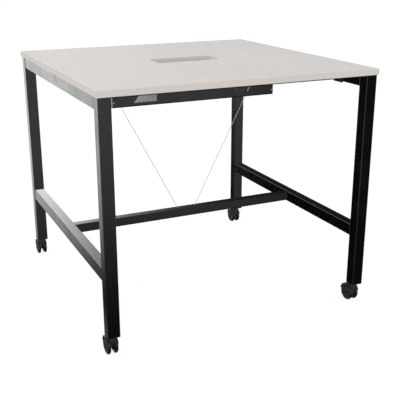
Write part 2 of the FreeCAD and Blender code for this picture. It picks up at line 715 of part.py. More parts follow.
def hood_sector(outer, width):
    """The part of a disc round the axle that the hood covers, from its front edge to its rear edge."""
    angles = [HOOD_REAR_ANGLE + (HOOD_FRONT_ANGLE - HOOD_REAR_ANGLE) * k / 2 for k in range(3)]
    rim = [vec(-width / 2, TRAIL + outer * math.cos(math.radians(a)),
               WHEEL_RADIUS + outer * math.sin(math.radians(a))) for a in angles]
    hub = vec(-width / 2, TRAIL, WHEEL_RADIUS)
    arc = Part.Arc(rim[0], rim[1], rim[2]).toShape()
    wire = Part.Wire([Part.makeLine(hub, rim[0]), arc, Part.makeLine(rim[2], hub)])
    return Part.Face(wire).extrude(vec(width, 0, 0))


def caster_hood(x, y):
    """Moulded hood: a shell over both wheels, a web between them and the swivel boss."""
    inner_dia = WHEEL_DIA + 2 * HOOD_GAP
    outer_dia = inner_dia + 2 * HOOD_SHELL
    boss_top = collar_low() - SWIVEL_GAP
    boss = rod(HOOD_BOSS_DIA, boss_top - WHEEL_RADIUS, vec(0, 0, WHEEL_RADIUS))
    clear = across_wheels(inner_dia, WHEEL_SPAN * 2, TRAIL)
    shell = hood_sector(outer_dia / 2, WHEEL_SPAN).cut(clear)
    shell = shell.fuse(boss.cut(clear))
    disc = across_wheels(outer_dia - HOOD_SHELL, HOOD_WEB, TRAIL)
    low = WHEEL_RADIUS - HOOD_WEB_DROP
    upper = block((WHEEL_SPAN, outer_dia, outer_dia), 0, TRAIL, low)
    web = disc.common(upper).fuse(across_wheels(2 * HOOD_WEB_RADIUS, HOOD_WEB, TRAIL))
    shape = shell.fuse(web).removeSplitter()
    depth = PIVOT_LENGTH + SWIVEL_GAP
    pivot_hole = rod(PIVOT_DIA + 2 * PIVOT_FIT, depth, vec(0, 0, boss_top - depth))
    shape = cut_all(shape, [pivot_hole, across_wheels(AXLE_DIA, HOOD_WEB, TRAIL)])
    shape.translate(vec(x, y, 0))
    return shape


def wheel_profile():
    """Half section of a wheel: radius over distance from its inner face, outer face last."""
    radius = WHEEL_RADIUS
    shoulder = WHEEL_SHOULDER
    width = WHEEL_WIDTH
    rim_in = radius - WHEEL_RIM
    hub = WHEEL_HUB_DIA / 2
    bore = AXLE_DIA / 2 + AXLE_FIT
    dish = width - WHEEL_DISH
    back = dish - WHEEL_DISC
    bevel = shoulder * (1 - math.sqrt(0.5))

    def at(x, r):
        return vec(x, r, 0)

    edges = [Part.makeLine(at(0, bore), at(0, hub)), Part.makeLine(at(0, hub), at(back, hub)),
             Part.makeLine(at(back, hub), at(back, rim_in)), Part.makeLine(at(back, rim_in), at(0, rim_in)),
             Part.makeLine(at(0, rim_in), at(0, radius - shoulder)),
             Part.Arc(at(0, radius - shoulder), at(bevel, radius - bevel), at(shoulder, radius)).toShape(),
             Part.makeLine(at(shoulder, radius), at(width - shoulder, radius)),
             Part.Arc(at(width - shoulder, radius), at(width - bevel, radius - bevel),
                      at(width, radius - shoulder)).toShape(),
             Part.makeLine(at(width, radius - shoulder), at(width, rim_in)),
             Part.makeLine(at(width, rim_in), at(dish, rim_in - WHEEL_DISH)),
             Part.makeLine(at(dish, rim_in - WHEEL_DISH), at(dish, hub)),
             Part.makeLine(at(dish, hub), at(width, hub - WHEEL_DISH)),
             Part.makeLine(at(width, hub - WHEEL_DISH), at(width, 0)),
             Part.makeLine(at(width, 0), at(width - WHEEL_CAP, 0)),
             Part.makeLine(at(width - WHEEL_CAP, 0), at(width - WHEEL_CAP, bore)),
             Part.makeLine(at(width - WHEEL_CAP, bore), at(0, bore))]
    return Part.Face(Part.Wire(edges))


def caster_wheel(x, y, side):
    """One of the twin wheels; its inner face looks at the web of the hood."""
    shape = wheel_profile().revolve(vec(0, 0, 0), X_AXIS, 360)
    shape.translate(vec(WHEEL_GAP / 2, 0, 0))
    if side < 0:
        shape = shape.mirror(vec(0, 0, 0), X_AXIS)
    shape.translate(vec(x, y + TRAIL, WHEEL_RADIUS))
    return shape


def caster_axle(x, y):
    length = WHEEL_SPAN - 2 * WHEEL_CAP - 2 * SWIVEL_GAP
    shape = across_wheels(AXLE_DIA, length, TRAIL)
    shape.translate(vec(x, y, 0))
    return shape


def save_casters():
    save("leg_inserts", [leg_insert(x, y) for x, y in CORNERS.values()])
    save("caster_stems", [caster_stem(x, y) for x, y in CORNERS.values()])
    for name, (x, y) in CORNERS.items():
        save("caster_hood_" + name, [caster_hood(x, y)])
        save("caster_axle_" + name, [caster_axle(x, y)])
        for side_name, side in SIDES.items():
            save("caster_wheel_" + name + "_" + side_name, [caster_wheel(x, y, side)])


os.makedirs("parts", exist_ok=True)
save_top()
save_frame()
save_tray()
save_wires()
save_screws()
save_casters()
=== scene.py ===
"""Looks of the standing meeting table: materials, fine pieces, floor, light and camera, in metres."""
import json
import math

import bmesh
import bpy
from mathutils import Matrix, Vector

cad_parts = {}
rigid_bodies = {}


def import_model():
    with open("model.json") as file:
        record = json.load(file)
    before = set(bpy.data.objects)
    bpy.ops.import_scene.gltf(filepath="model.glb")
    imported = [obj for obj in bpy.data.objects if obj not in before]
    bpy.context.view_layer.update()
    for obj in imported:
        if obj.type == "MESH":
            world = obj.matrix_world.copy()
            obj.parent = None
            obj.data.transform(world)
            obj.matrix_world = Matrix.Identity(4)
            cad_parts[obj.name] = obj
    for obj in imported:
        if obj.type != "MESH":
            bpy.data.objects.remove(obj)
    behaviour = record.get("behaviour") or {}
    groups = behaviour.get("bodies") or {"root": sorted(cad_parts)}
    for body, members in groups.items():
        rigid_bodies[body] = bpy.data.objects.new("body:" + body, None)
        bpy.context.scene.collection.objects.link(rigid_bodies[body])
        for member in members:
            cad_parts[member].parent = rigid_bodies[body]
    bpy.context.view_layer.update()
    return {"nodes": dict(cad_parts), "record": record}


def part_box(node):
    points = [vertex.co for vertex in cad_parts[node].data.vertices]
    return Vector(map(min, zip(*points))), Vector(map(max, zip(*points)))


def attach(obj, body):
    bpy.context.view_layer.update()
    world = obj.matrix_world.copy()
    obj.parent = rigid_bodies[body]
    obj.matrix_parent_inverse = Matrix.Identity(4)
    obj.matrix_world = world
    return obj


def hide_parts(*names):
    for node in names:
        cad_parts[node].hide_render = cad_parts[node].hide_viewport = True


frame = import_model()
NODES = frame["nodes"]
SLOTS = {row["node"]: row["material_slot"] for row in frame["record"]["subparts"]}
SIDES = ("left", "right")
CORNERS = ("front_left", "front_right", "back_left", "back_right")
WHITE = (1.0, 1.0, 1.0, 1.0)


# ---------------------------------------------------------------- material helpers
NOISE_LOW = 0.3
NOISE_HIGH = 0.7
SURFACE_IOR = 1.5


class Shader:
    """A Principled material under construction, with short calls for the nodes used here."""

    def __init__(self, name, metallic=0.0):
        self.mat = bpy.data.materials.new(name)
        self.mat.use_nodes = True
        self.tree = self.mat.node_tree
        self.bsdf = self.tree.nodes["Principled BSDF"]
        self.bsdf.inputs["Metallic"].default_value = metallic
        self.bsdf.inputs["IOR"].default_value = SURFACE_IOR
        self.coords = self.tree.nodes.new("ShaderNodeTexCoord").outputs["Object"]

    def link(self, a, b):
        self.tree.links.new(a, b)

    def stretch(self, scale):
        """Object coordinates scaled differently along X, Y and Z."""
        node = self.tree.nodes.new("ShaderNodeMapping")
        node.inputs["Scale"].default_value = scale
        self.link(self.coords, node.inputs["Vector"])
        return node.outputs["Vector"]

    def noise(self, scale, detail=2.0, rough=0.5, vector=None):
        node = self.tree.nodes.new("ShaderNodeTexNoise")
        node.inputs["Scale"].default_value = scale
        node.inputs["Detail"].default_value = detail
        node.inputs["Roughness"].default_value = rough
        self.link(vector or self.coords, node.inputs["Vector"])
        return node.outputs["Fac"]

    def cells(self, scale):
        node = self.tree.nodes.new("ShaderNodeTexVoronoi")
        node.inputs["Scale"].default_value = scale
        self.link(self.coords, node.inputs["Vector"])
        return node.outputs["Distance"]

    def spread(self, value, to_low, to_high):
        """Map the usual span of a noise texture to to_low..to_high."""
        node = self.tree.nodes.new("ShaderNodeMapRange")
        node.inputs["From Min"].default_value = NOISE_LOW
        node.inputs["From Max"].default_value = NOISE_HIGH
        node.inputs["To Min"].default_value = to_low
        node.inputs["To Max"].default_value = to_high
        self.link(value, node.inputs["Value"])
        return node.outputs["Result"]

    def ramp(self, value, start, end, dark, light):
        """A colour that runs from dark to light while a texture runs from start to end."""
        node = self.tree.nodes.new("ShaderNodeValToRGB")
        stops = ((start, dark), (end, light))
        for element, (place, colour) in zip(node.color_ramp.elements, stops):
            element.position = place
            element.color = (*colour, 1.0)
        self.link(value, node.inputs["Fac"])
        return node.outputs["Color"]

    def product(self, a, b):
        """Two colours multiplied."""
        node = self.tree.nodes.new("ShaderNodeMix")
        node.data_type = "RGBA"
        node.blend_type = "MULTIPLY"
        node.inputs["Factor"].default_value = 1.0
        self.link(a, node.inputs["A"])
        self.link(b, node.inputs["B"])
        return node.outputs["Result"]

    def colour(self, value):
        self.link(value, self.bsdf.inputs["Base Color"])

    def roughness(self, value):
        self.link(value, self.bsdf.inputs["Roughness"])

    def bump(self, height, strength, distance):
        node = self.tree.nodes.new("ShaderNodeBump")
        node.inputs["Strength"].default_value = strength
        node.inputs["Distance"].default_value = distance
        self.link(height, node.inputs["Height"])
        self.link(node.outputs["Normal"], self.bsdf.inputs["Normal"])


def grey(level, warm=0.0):
    """A grey of the given linear level; warm lifts red and lowers blue by that share."""
    return (level * (1 + warm), level, level * (1 - warm))


# ---------------------------------------------------------------- materials
LAMINATE = 0.705
LAMINATE_WARMTH = 0.035
LAMINATE_GLOSS = 0.2
EDGING_SHARE = 1.03
# Painted light: how much lighter than the laminate the cut-out's band is made, standing in for light
# that falls short inside the hole.
CUTOUT_PAINTED_LIGHT_SHARE = 1.30
EDGING_WARMTH = 0.075
FACE_GRAIN = (1.0, 1.0, 1.0)
EDGE_GRAIN = (0.2, 0.2, 3.0)
EVEN_BRUSH = (1.0, 1.0, 1.0)
DRAWN_BRUSH = (1.0, 1.0, 0.2)


def laminate_material(name, level, warmth, grain):
    """Melamine face: warm light grey, a faint cloud, a fine speckle and a pearl texture."""
    s = Shader(name)
    s.bsdf.inputs["Specular IOR Level"].default_value = LAMINATE_GLOSS
    cloud = s.noise(scale=2.2, detail=3.0)
    speck = s.noise(scale=1400.0, vector=s.stretch(grain))
    base = s.ramp(cloud, start=0.35, end=0.65,
                  dark=grey(level * 0.985, warmth), light=grey(level * 1.015, warmth))
    fine = s.ramp(speck, start=0.40, end=0.60, dark=grey(0.95), light=grey(1.0))
    s.colour(s.product(base, fine))
    s.roughness(s.spread(s.noise(scale=9.0), to_low=0.62, to_high=0.70))
    s.bump(s.cells(scale=1100.0), strength=0.12, distance=0.0002)
    return s.mat


def powder_coat(name, level, rough):
    """Satin black powder coat with its fine orange peel."""
    s = Shader(name)
    s.colour(s.ramp(s.noise(scale=420.0, detail=3.0), start=0.35, end=0.65,
                    dark=grey(level * 0.8), light=grey(level * 1.25)))
    s.roughness(s.spread(s.noise(scale=14.0, detail=4.0), rough - 0.03, rough + 0.03))
    s.bump(s.noise(scale=1100.0, detail=3.0), strength=0.10, distance=0.0003)
    return s.mat


def moulded_plastic(name, level, rough):
    """Black moulded plastic with a fine spark-eroded grain."""
    s = Shader(name)
    s.colour(s.ramp(s.noise(scale=90.0, detail=3.0), start=0.3, end=0.7,
                    dark=grey(level * 0.85), light=grey(level * 1.15)))
    s.roughness(s.spread(s.noise(scale=160.0, detail=3.0), rough - 0.05, rough + 0.05))
    s.bump(s.cells(scale=2200.0), strength=0.12, distance=0.0002)
    return s.mat


def plated_steel(name, level, rough, brush=EVEN_BRUSH):
    """Zinc-plated or drawn steel: fine scratches and a faint tint."""
    s = Shader(name, metallic=1.0)
    scratch = s.noise(scale=1800.0, detail=4.0, rough=0.6, vector=s.stretch(brush))
    s.colour(s.ramp(s.noise(scale=60.0, detail=3.0), start=0.3, end=0.7,
                    dark=grey(level * 0.93, -0.015), light=grey(level * 1.05, 0.02)))
    s.roughness(s.spread(scratch, rough - 0.08, rough + 0.08))
    s.bump(scratch, strength=0.15, distance=0.0001)
    return s.mat


MATERIALS = {
    "top_laminate": laminate_material("melamine_face", LAMINATE, LAMINATE_WARMTH, FACE_GRAIN),
    "top_edging": laminate_material("edge_banding", LAMINATE * EDGING_SHARE,
                                    EDGING_WARMTH, EDGE_GRAIN),
    "frame_paint": powder_coat("frame_powder_coat", level=0.0022, rough=0.18),
    "tray_paint": powder_coat("tray_powder_coat", level=0.0022, rough=0.22),
    "zinc_steel": plated_steel("zinc_plate", level=0.60, rough=0.32),
    "wire_steel": plated_steel("wire_strand", level=0.80, rough=0.30, brush=DRAWN_BRUSH),
    "rivet_aluminium": plated_steel("rivet_aluminium", level=0.80, rough=0.35),
    "insert_plastic": moulded_plastic("insert_nylon", level=0.010, rough=0.5),
    "caster_plastic": moulded_plastic("hood_nylon", level=0.0050, rough=0.38),
    "wheel_plastic": moulded_plastic("wheel_nylon", level=0.0065, rough=0.34),
}
TYRE = moulded_plastic("tyre_polyurethane", level=0.0050, rough=0.34)
# Painted light: a lighter copy of the edge banding for the cut-out's walls, in place of light that
# falls short inside the hole.
CUTOUT_BANDING_PAINTED_LIGHT = laminate_material("cutout_banding_painted_light", LAMINATE * CUTOUT_PAINTED_LIGHT_SHARE,
                                   EDGING_WARMTH, EDGE_GRAIN)


def dress_cad_nodes():
    """Give every CAD node the material of its slot; the cut-out's band gets a lighter copy of the
    edge banding, painted light on the hole's walls.
    """
    for name, obj in NODES.items():
        obj.data.materials.clear()
        # The cut-out's band takes the painted-light copy of the banding.
        own = name == "cutout_edge_band"
        obj.data.materials.append(CUTOUT_BANDING_PAINTED_LIGHT if own else MATERIALS[SLOTS[name]])


dress_cad_nodes()


# ---------------------------------------------------------------- mesh helpers
MM = 0.001
X_AXIS = Vector((1, 0, 0))
Y_AXIS = Vector((0, 1, 0))
Z_AXIS = Vector((0, 0, 1))
SMOOTH_ANGLE = math.radians(38)
MERGE_DISTANCE = 0.01 * MM
FLAT_ANGLE = math.radians(0.5)
SHARP_ANGLE = math.radians(40)
BEVEL_SEGMENTS = 2


def riding_body(node):
    """Name of the body that a CAD node rides on."""
    bodies = frame["record"]["behaviour"]["bodies"]
    return next(name for name, nodes in bodies.items() if node in nodes)


def finish_piece(name, edit, slot, body, nodes=(), material=None):
    """Turn an edit mesh into a smooth-shaded piece of a body, standing for the given nodes."""
    bmesh.ops.recalc_face_normals(edit, faces=edit.faces)
    mesh = bpy.data.meshes.new(name)
    edit.to_mesh(mesh)
    edit.free()
    mesh.shade_smooth()
    mesh.set_sharp_from_angle(angle=SMOOTH_ANGLE)
    mesh.materials.append(material or MATERIALS[slot])
    piece = bpy.data.objects.new(name, mesh)
    bpy.context.scene.collection.objects.link(piece)
    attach(piece, body)
    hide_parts(*nodes)


def skin(edit, rings, closed=False):
    """Faces over a row of equal rings of points; open rows get a cap at each end."""
    rows = [[edit.verts.new(point) for point in ring] for ring in rings]
    count = len(rows[0])
    pairs = list(zip(rows, rows[1:]))
    if closed:
        pairs.append((rows[-1], rows[0]))
    for a, b in pairs:
        for k in range(count):
            n = (k + 1) % count
            edit.faces.new((a[k], a[n], b[n], b[k]))
    if not closed:
        edit.faces.new(rows[0])
        edit.faces.new(rows[-1])


def lathe(edit, profile, steps, origin, axis, across):
    """Revolve (along, radius) points round an axis; a radius of 0 at either end closes that end."""
    third = axis.cross(across)

    def ring(along, radius):
        centre = origin + axis * along
        if radius == 0:
            return [edit.verts.new(centre)]
        turns = [2 * math.pi * k / steps for k in range(steps)]
        return [edit.verts.new(centre + (across * math.cos(a) + third * math.sin(a)) * radius)
                for a in turns]

    rows = [ring(*point) for point in profile]
    for a, b in zip(rows, rows[1:]):
        for k in range(steps):
            n = (k + 1) % steps
            corners = [a[k % len(a)], a[n % len(a)], b[n % len(b)], b[k % len(b)]]
            edit.faces.new(list(dict.fromkeys(corners)))
    if len(rows[0]) > 1 and len(rows[-1]) > 1:
        for k in range(steps):
            n = (k + 1) % steps
            edit.faces.new((rows[-1][k], rows[-1][n], rows[0][n], rows[0][k]))


def softened(node, width):
    """A copy of a CAD node with its sharp edges rounded; it stands for the node."""
    edit = bmesh.new()
    edit.from_mesh(NODES[node].data)
    bmesh.ops.remove_doubles(edit, verts=edit.verts, dist=MERGE_DISTANCE)
    bmesh.ops.dissolve_limit(edit, angle_limit=FLAT_ANGLE, verts=edit.verts, edges=edit.edges)
    sharp = [e for e in edit.edges if e.is_manifold and e.calc_face_angle(0.0) > SHARP_ANGLE]
    bmesh.ops.bevel(edit, geom=sharp, offset=width, segments=BEVEL_SEGMENTS, profile=0.5,
                    affect="EDGES", clamp_overlap=True)
    finish_piece(node + "_detailed", edit, SLOTS[node], riding_body(node), (node,))


# ---------------------------------------------------------------- brace wires
STRANDS = 6
STRANDS_ACROSS = 3
WIRE_LAY = 15 * MM
RINGS_PER_LAY = 12
STRAND_SIDES = 7
CORE_SHARE = 1.2  # radius of the core as a share of a strand's


def rod_axis(node):
    """Both end centres and the radius of a CAD rod, from the rings of points at its ends."""
    points = [v.co for v in NODES[node].data.vertices]
    middle = sum(p.z for p in points) / len(points)
    centres = []
    for end in ([p for p in points if p.z < middle], [p for p in points if p.z > middle]):
        low = Vector([min(p[i] for p in end) for i in range(3)])
        high = Vector([max(p[i] for p in end) for i in range(3)])
        centres.append((low + high) / 2)
    low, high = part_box(node)
    return centres[0], centres[1], (high.y - low.y) / 2


def wire_rope(side):
    """Six strands laid round a core, inside the outline of the CAD wire."""
    node = "brace_wire_" + side
    start, end, radius = rod_axis(node)
    along = (end - start).normalized()
    across = along.cross(Y_AXIS)
    length = (end - start).length
    strand = radius / STRANDS_ACROSS
    orbit = radius - strand
    edit = bmesh.new()
    count = int(length / WIRE_LAY * RINGS_PER_LAY)
    angles = [2 * math.pi * k / STRAND_SIDES for k in range(STRAND_SIDES)]
    for number in range(STRANDS):
        rings = []
        for step in range(count + 1):
            turn = 2 * math.pi * (step / RINGS_PER_LAY + number / STRANDS)
            out = across * math.cos(turn) + Y_AXIS * math.sin(turn)
            around = across * -math.sin(turn) + Y_AXIS * math.cos(turn)
            centre = start + along * (length * step / count) + out * orbit
            rings.append([centre + (out * math.cos(a) + around * math.sin(a)) * strand
                          for a in angles])
        skin(edit, rings)
    core = strand * CORE_SHARE
    lathe(edit, [(0, 0), (0, core), (length, core), (length, 0)], STRAND_SIDES,
          start, along, Y_AXIS)
    finish_piece("wire_rope_" + side, edit, "wire_steel", riding_body(node), (node,))


# ---------------------------------------------------------------- casters
WHEEL_STEPS = 72
TYRE_SEAT = 31.0 * MM
TYRE_OVERLAP = 0.2 * MM
TYRE_GROOVE = 0.5 * MM
TYRE_SHOULDER = 6 * MM
SHOULDER_STEPS = 8
PARTING_HALF = 0.3 * MM
PARTING_DEPTH = 0.15 * MM

# The wheel disc, in mm. DISC_FACE lists (depth under the outer face, radius) from rim to cap.
AXLE_BORE = 3.06
BORE_DEPTH = 2.0
HUB_EDGE = 9.5
HUB_CHAMFER = 0.5
HUB_RADIUS = 10.0
DISC_THICK = 5.0
RIM_INNER = 30.0
RIM_INSET = 0.6
DISC_FACE = ((0.5, 30.4), (1.9, 28.7), (2.0, 28.2), (2.0, 22.6), (1.6, 22.0), (1.6, 21.2),
             (2.0, 20.6), (2.0, 10.4), (0.5, 8.9), (0.2, 8.5), (0.6, 8.1), (0.6, 7.7),
             (0.1, 7.2), (0.0, 5.0), (0.0, 2.2), (0.4, 1.6), (0.4, 0.0))

RIB_COUNT = 8
RIB_THICK = 1.4 * MM
RIB_FROM = 9.8 * MM
RIB_TO = 30.2 * MM
RIB_INSET = 1.2 * MM
RIB_ROOT = 4.9 * MM
RIB_TAPER = 0.7
HOOD_EDGE = 0.6 * MM


def wheel_sizes(node):
    """Centre of the inner face, outward direction, width and radius of one wheel."""
    low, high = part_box(node)
    outward = X_AXIS if node.endswith("_right") else -X_AXIS
    inner_x = low.x if outward.x > 0 else high.x
    centre = (low + high) / 2
    return Vector((inner_x, centre.y, centre.z)), outward, high.x - low.x, (high.z - low.z) / 2


def tyre_profile(width, radius):
    """Rounded tread with a fine parting line in its middle and a groove beside the disc."""
    side = radius - TYRE_SHOULDER
    arc = []
    for k in range(SHOULDER_STEPS + 1):
        angle = math.pi / 2 * k / SHOULDER_STEPS
        arc.append((TYRE_SHOULDER * (1 - math.cos(angle)), side + TYRE_SHOULDER * math.sin(angle)))
    middle = width / 2
    left = [(TYRE_GROOVE, TYRE_SEAT), (0, TYRE_SEAT + TYRE_GROOVE)] + arc
    crown = [(middle - PARTING_HALF, radius), (middle, radius - PARTING_DEPTH),
             (middle + PARTING_HALF, radius)]
    right = [(width - a, r) for a, r in reversed(left)]
    return left + crown + right


def disc_profile(width):
    """Half section of a wheel disc from its bore to its domed cap, inner side first."""
    seat = (TYRE_SEAT + TYRE_OVERLAP) / MM
    w = width / MM
    points = [(w - BORE_DEPTH, 0), (w - BORE_DEPTH, AXLE_BORE), (0, AXLE_BORE), (0, HUB_EDGE),
              (HUB_CHAMFER, HUB_RADIUS), (w - DISC_THICK, HUB_RADIUS),
              (w - DISC_THICK, RIM_INNER), (RIM_INSET, RIM_INNER), (RIM_INSET, seat),
              (w - RIM_INSET, seat)]
    points += [(w - depth, radius) for depth, radius in DISC_FACE]
    return [(a * MM, r * MM) for a, r in points]


def wheel_ribs(edit, centre, outward, width):
    """Radial ribs in the recess of the disc's inner side."""
    for number in range(RIB_COUNT):
        angle = 2 * math.pi * number / RIB_COUNT
        out = Y_AXIS * math.cos(angle) + Z_AXIS * math.sin(angle)
        beside = outward.cross(out) * RIB_THICK / 2
        rings = []
        for radius in (RIB_FROM, RIB_TO):
            foot = centre + out * radius + outward * RIB_INSET
            top = centre + out * radius + outward * (width - RIB_ROOT)
            rings.append([foot + beside * RIB_TAPER, top + beside,
                          top - beside, foot - beside * RIB_TAPER])
        skin(edit, rings)


def caster_wheel(corner, side):
    """A tyre and a ribbed disc in place of one CAD wheel."""
    node = "caster_wheel_" + corner + "_" + side
    body = riding_body(node)
    centre, outward, width, radius = wheel_sizes(node)
    edit = bmesh.new()
    lathe(edit, tyre_profile(width, radius), WHEEL_STEPS, centre, outward, Y_AXIS)
    finish_piece("tyre_" + corner + "_" + side, edit, "wheel_plastic", body, (node,), TYRE)
    edit = bmesh.new()
    lathe(edit, disc_profile(width), WHEEL_STEPS, centre, outward, Y_AXIS)
    wheel_ribs(edit, centre, outward, width)
    finish_piece("wheel_disc_" + corner + "_" + side, edit, "wheel_plastic", body, (node,))


# ---------------------------------------------------------------- welds
WELD_LEG = 2.4 * MM
WELD_PITCH = 2.2 * MM
STEPS_PER_RIPPLE = 5
WELD_SECTION = ((-0.5, -0.4), (1.0, -0.4), (1.0, 0.1), (0.68, 0.34), (0.34, 0.68), (0.1, 1.0),
                (-0.5, 1.0))
RIPPLE_DEPTH = 0.10
LONG_DRIFT = (0.07, 0.037)  # share of the leg, and turn per step
SHORT_DRIFT = (0.05, 0.113)
TUBE_CORNER = 2.5 * MM
LEG_PHASE = 1.7
BEAM_PHASE = 0.9


def outline_walk(half_width, half_height, corner, step):
    """Points and outward normals round a rounded rectangle, from the middle of its top."""
    straight = (half_width - corner, 2 * (half_height - corner), 2 * (half_width - corner),
                2 * (half_height - corner), half_width - corner)
    walk = []
    heading = 0.0
    place = Vector((0.0, half_height))
    for number, length in enumerate(straight):
        along = Vector((math.cos(heading), math.sin(heading)))
        outward = Vector((-along.y, along.x))
        count = max(1, round(length / step))
        walk += [(place + along * length * k / count, outward) for k in range(count)]
        place = place + along * length
        if number < 4:
            centre = place - outward * corner
            count = max(3, round(corner * math.pi / 2 / step))
            for k in range(count):
                angle = heading + math.pi / 2 - math.pi / 2 * k / count
                out = Vector((math.cos(angle), math.sin(angle)))
                walk.append((centre + out * corner, out))
            heading -= math.pi / 2
            turned = heading + math.pi / 2
            place = centre + Vector((math.cos(turned), math.sin(turned))) * corner
    return walk


def weld_leg(number, phase):
    """Leg of the bead at one step: even ripples over two slow drifts."""
    ripple = 1 + RIPPLE_DEPTH * math.cos(2 * math.pi * number / STEPS_PER_RIPPLE + phase)
    drift = (1 + LONG_DRIFT[0] * math.sin(number * LONG_DRIFT[1] + phase)
             + SHORT_DRIFT[0] * math.sin(number * SHORT_DRIFT[1] + 2 * phase))
    return WELD_LEG * ripple * drift


def weld_bead(edit, centre, across, up, away, half_width, half_height, phase, under_board):
    """A rippled fillet weld round the end of a tube; under the board it leaves the top side out."""
    walk = outline_walk(half_width, half_height, TUBE_CORNER, WELD_PITCH / STEPS_PER_RIPPLE)
    if under_board:
        walk = [(p, out) for p, out in walk if p.y < half_height - WELD_LEG]
    rings = []
    for number, (place, out) in enumerate(walk):
        leg = weld_leg(number, phase)
        base = centre + across * place.x + up * place.y
        normal = across * out.x + up * out.y
        rings.append([base + normal * leg * a + away * leg * b for a, b in WELD_SECTION])
    skin(edit, rings, closed=not under_board)


def frame_welds():
    """Beads where the rails and crossbars meet the legs and the beams meet their end plates."""
    edit = bmesh.new()
    for number, corner in enumerate(CORNERS):
        end, side = corner.split("_")
        leg_low, leg_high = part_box("leg_" + corner)
        face = leg_high.y if end == "front" else leg_low.y
        away = Y_AXIS if end == "front" else -Y_AXIS
        for node, under_board in (("side_rail_" + side, True), ("crossbar_" + side, False)):
            low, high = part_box(node)
            middle = (low + high) / 2
            weld_bead(edit, Vector((middle.x, face, middle.z)), X_AXIS, Z_AXIS, away,
                      (high.x - low.x) / 2, (high.z - low.z) / 2, LEG_PHASE * number, under_board)
    for end in ("front", "back"):
        low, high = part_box("under_top_beam_" + end)
        middle = (low + high) / 2
        for face, away in ((low.x, X_AXIS), (high.x, -X_AXIS)):
            weld_bead(edit, Vector((face, middle.y, middle.z)), Y_AXIS, Z_AXIS, away,
                      (high.y - low.y) / 2, (high.z - low.z) / 2, BEAM_PHASE, True)
    finish_piece("frame_welds", edit, "frame_paint", riding_body("stretcher"))


# ---------------------------------------------------------------- rivets
RIVET_STEPS = 24
RIVET_HEAD = 3.0 * MM
# (along, radius) in mm: mandrel end, domed head, shank through the sheets, bulb inside the tray
RIVET_PROFILE = ((0, 0), (0, 0.9), (0.35, 1.0), (0.35, 1.25), (-0.05, 1.35), (0.0, 1.9),
                 (-0.25, 2.5), (-0.65, 2.9), (-1.0, 3.0), (-1.0, 1.6), (-4.0, 1.6), (-4.3, 2.3),
                 (-5.0, 2.5), (-6.4, 2.1), (-6.8, 1.3), (-6.8, 0))


def tray_rivets():
    """Blind rivets: a domed head with the snapped mandrel in it, and the bulb inside the tray."""
    low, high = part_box("tray_rivets")
    profile = [(a * MM, r * MM) for a, r in RIVET_PROFILE]
    edit = bmesh.new()
    for y, outward in ((low.y, -Y_AXIS), (high.y, Y_AXIS)):
        for x in (low.x + RIVET_HEAD, high.x - RIVET_HEAD):
            for z in (low.z + RIVET_HEAD, high.z - RIVET_HEAD):
                lathe(edit, profile, RIVET_STEPS, Vector((x, y, z)), outward, X_AXIS)
    finish_piece("rivets", edit, "rivet_aluminium", riding_body("tray_rivets"), ("tray_rivets",))


# ---------------------------------------------------------------- all pieces
ROUNDED_EDGES = {  # node and edge width in mm
    "beam_bolts": 0.4, "caster_stems": 0.4, "wire_fork_left": 0.4, "wire_fork_right": 0.4,
    "wire_bracket_left": 0.4, "wire_bracket_right": 0.4, "clevis_pins": 0.3,
    "beam_end_plates_front": 0.6, "beam_end_plates_back": 0.6,
}

for side in SIDES:
    wire_rope(side)
for corner in CORNERS:
    for side in SIDES:
        caster_wheel(corner, side)
    softened("caster_hood_" + corner, HOOD_EDGE)
frame_welds()
tray_rivets()
for node, width in ROUNDED_EDGES.items():
    softened(node, width * MM)


# ---------------------------------------------------------------- floor, light and camera
FLOOR_COLOUR = 0.80
FLOOR_MOTTLE = 0.01
FLOOR_MOTTLE_SCALE = 3.0
FLOOR_ROUGHNESS = 0.9
FLOOR_SEEN = 0.14
FLOOR_GLOW = 0.91
FLOOR_SIZE = 40.0
WORLD_LEVEL = 0.90

LAMP_PLACE = (-2.5, -0.5, 4.0)
LAMP_TARGET = (0.0, 0.0, 0.8)
LAMP_SIDE = 3.0
LAMP_RADIANCE = 0.5

SENSOR_WIDTH = 36.0
CAMERA_LENS = 66.43
CAMERA_PLACE = (-1.34210, -3.02438, 1.49979)
CAMERA_TURN = (1.24705, 0.00125, -0.43795)


def ray_kind(tree, output):
    return tree.nodes.new("ShaderNodeLightPath").outputs[output]


